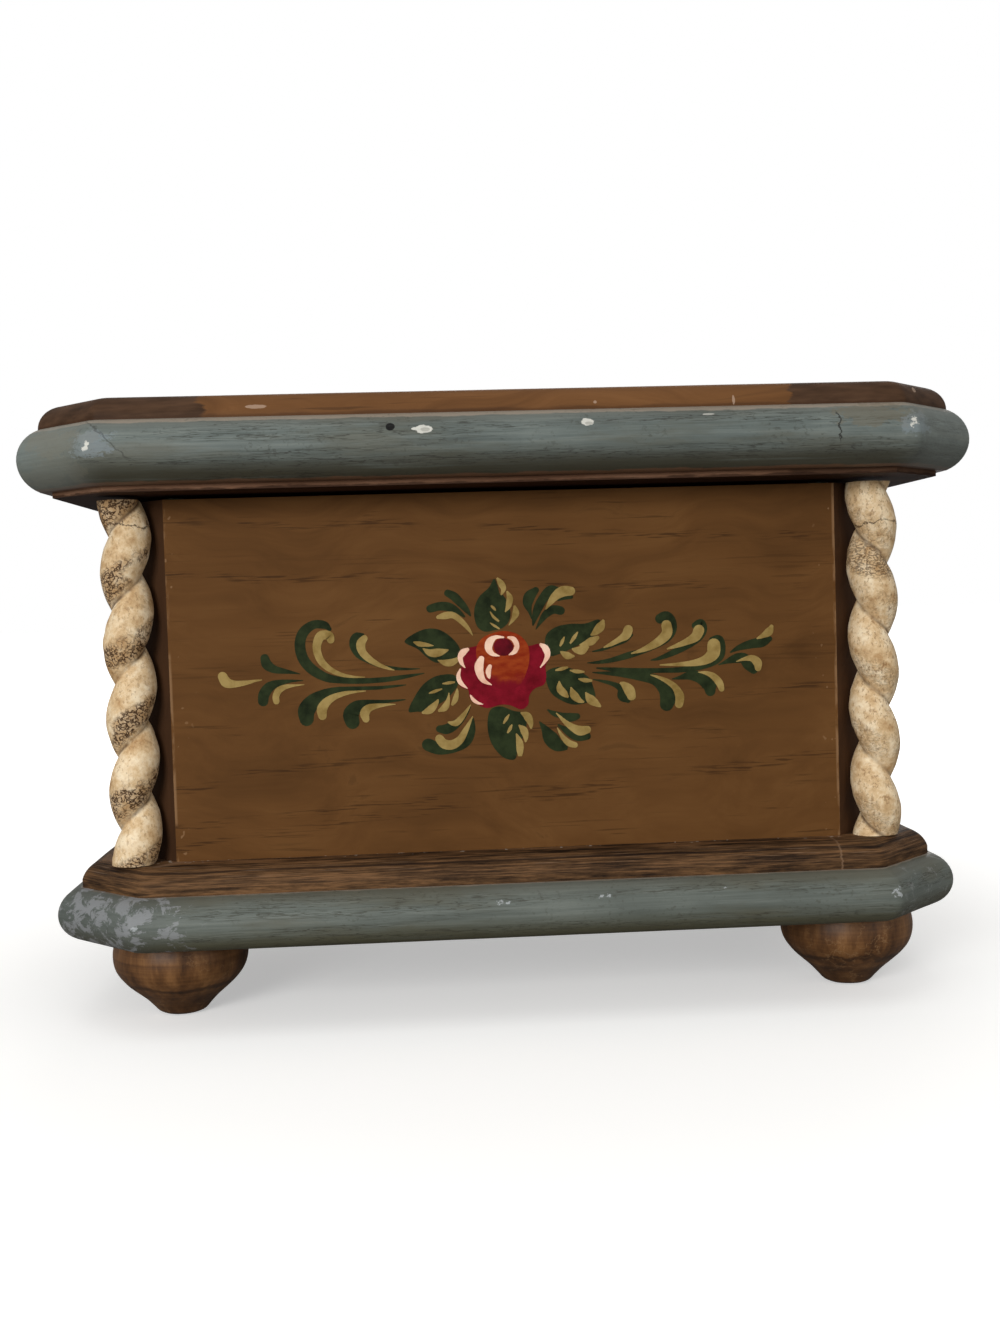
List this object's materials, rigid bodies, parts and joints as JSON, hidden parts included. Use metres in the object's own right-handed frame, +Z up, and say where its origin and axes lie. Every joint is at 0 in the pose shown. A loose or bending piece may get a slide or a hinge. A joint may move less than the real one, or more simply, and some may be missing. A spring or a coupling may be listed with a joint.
{
  "type": "music box",
  "caption": "Wooden music box with a hinged lid, rolled edges, twisted corner columns and turned feet, holding a spring-wound comb movement and a lined compartment.",
  "frame": {"origin": "middle of the footprint, on the table under the feet", "axes": "+X to the right seen from the front, +Y to the hinged back, +Z up"},
  "size_m": [0.2028, 0.1256, 0.1313],
  "materials": {
    "blue_paint": "worn semi-gloss blue-grey paint on wood",
    "stained_wood": "brown stain, satin",
    "dark_wood": "dark brown stain, worn satin",
    "cream_paint": "crackled cream paint with dark wax in the grooves",
    "foot_wood": "brown stain, satin",
    "inner_wood": "plain stain, matte",
    "red_felt": "felt",
    "green_felt": "felt",
    "hinge_brass": "dull",
    "cast_metal": "grey casting",
    "steel": "bright",
    "spring_steel": "hardened",
    "brass": "bright",
    "fan_metal": "thin sheet"
  },
  "bodies": {
    "case": {"base_roll_board": "blue_paint", "base_step_board": "dark_wood", "front_panel": "stained_wood", "back_panel": "stained_wood", "left_panel": "stained_wood", "right_panel": "stained_wood", "corner_post_left": "stained_wood", "corner_post_right": "stained_wood", "column_left": "cream_paint", "column_right": "cream_paint", "foot_front_left": "foot_wood", "foot_front_right": "foot_wood", "foot_back_left": "foot_wood", "foot_back_right": "foot_wood", "partition": "inner_wood", "compartment_felt": "red_felt", "lid_bumpers": "green_felt", "hinge_case_leaf_left": "hinge_brass", "hinge_case_leaf_right": "hinge_brass", "hinge_pin_left": "hinge_brass", "hinge_pin_right": "hinge_brass", "hinge_case_screws": "hinge_brass", "bedplate": "cast_metal", "bedplate_screws": "steel", "winding_clutch": "steel", "comb": "spring_steel", "comb_screws": "steel", "governor_frame": "brass", "governor_screws": "steel", "stop_guides": "brass"},
    "lid": {"lid_step_board": "stained_wood", "lid_roll_board": "blue_paint", "lid_top_panel": "dark_wood", "lid_lining": "red_felt", "hinge_lid_leaf_left": "hinge_brass", "hinge_lid_leaf_right": "hinge_brass", "hinge_lid_screws": "hinge_brass"},
    "key": {"winding_key": "brass", "winding_arbor": "steel"},
    "barrel": {"spring_barrel": "brass", "crown_wheel": "brass", "mainspring": "spring_steel"},
    "cylinder": {"pinned_cylinder": "brass", "cylinder_arbor": "steel", "cylinder_pinion": "brass", "cylinder_wheel": "brass"},
    "second_wheel": {"second_arbor": "steel", "second_pinion": "steel", "worm_wheel": "brass"},
    "fly": {"fly_worm": "steel", "fly_fan": "fan_metal"},
    "stop": {"stop_rod": "steel"}
  },
  "joints": [
    {"name": "lid_hinge", "type": "hinge", "parent": "case", "child": "lid", "pos_m": [0, 0.0613, 0.11165], "axis": [-1, 0, 0], "range_deg": [0, 95]},
    {"name": "key_turn", "type": "hinge", "parent": "case", "child": "key", "pos_m": [-0.055, 0.002, 0.03], "axis": [0, 0, 1], "continuous": true},
    {"name": "barrel_turn", "type": "hinge", "parent": "case", "child": "barrel", "pos_m": [-0.055, 0.002, 0.0423], "axis": [0, 0, 1], "continuous": true},
    {"name": "cylinder_turn", "type": "hinge", "parent": "case", "child": "cylinder", "pos_m": [-0.0294, 0.002, 0.054], "axis": [1, 0, 0], "continuous": true},
    {"name": "second_wheel_turn", "type": "hinge", "parent": "case", "child": "second_wheel", "pos_m": [-0.0189, 0.01123, 0.057], "axis": [1, 0, 0], "continuous": true},
    {"name": "fly_turn", "type": "hinge", "parent": "case", "child": "fly", "pos_m": [-0.0174, 0.01663, 0.057], "axis": [0, 0, 1], "continuous": true},
    {"name": "stop_slide", "type": "slide", "parent": "case", "child": "stop", "axis": [0, 0, 1], "range_m": [0, 0.003]}
  ],
  "couplings": [
    {"joint": "cylinder_turn", "follows": "barrel_turn", "ratio": 2.5},
    {"joint": "second_wheel_turn", "follows": "barrel_turn", "ratio": -7.5},
    {"joint": "fly_turn", "follows": "barrel_turn", "ratio": 150},
    {"joint": "stop_slide", "follows": "lid_hinge", "m_per_rad": 0.001809}
  ]
}
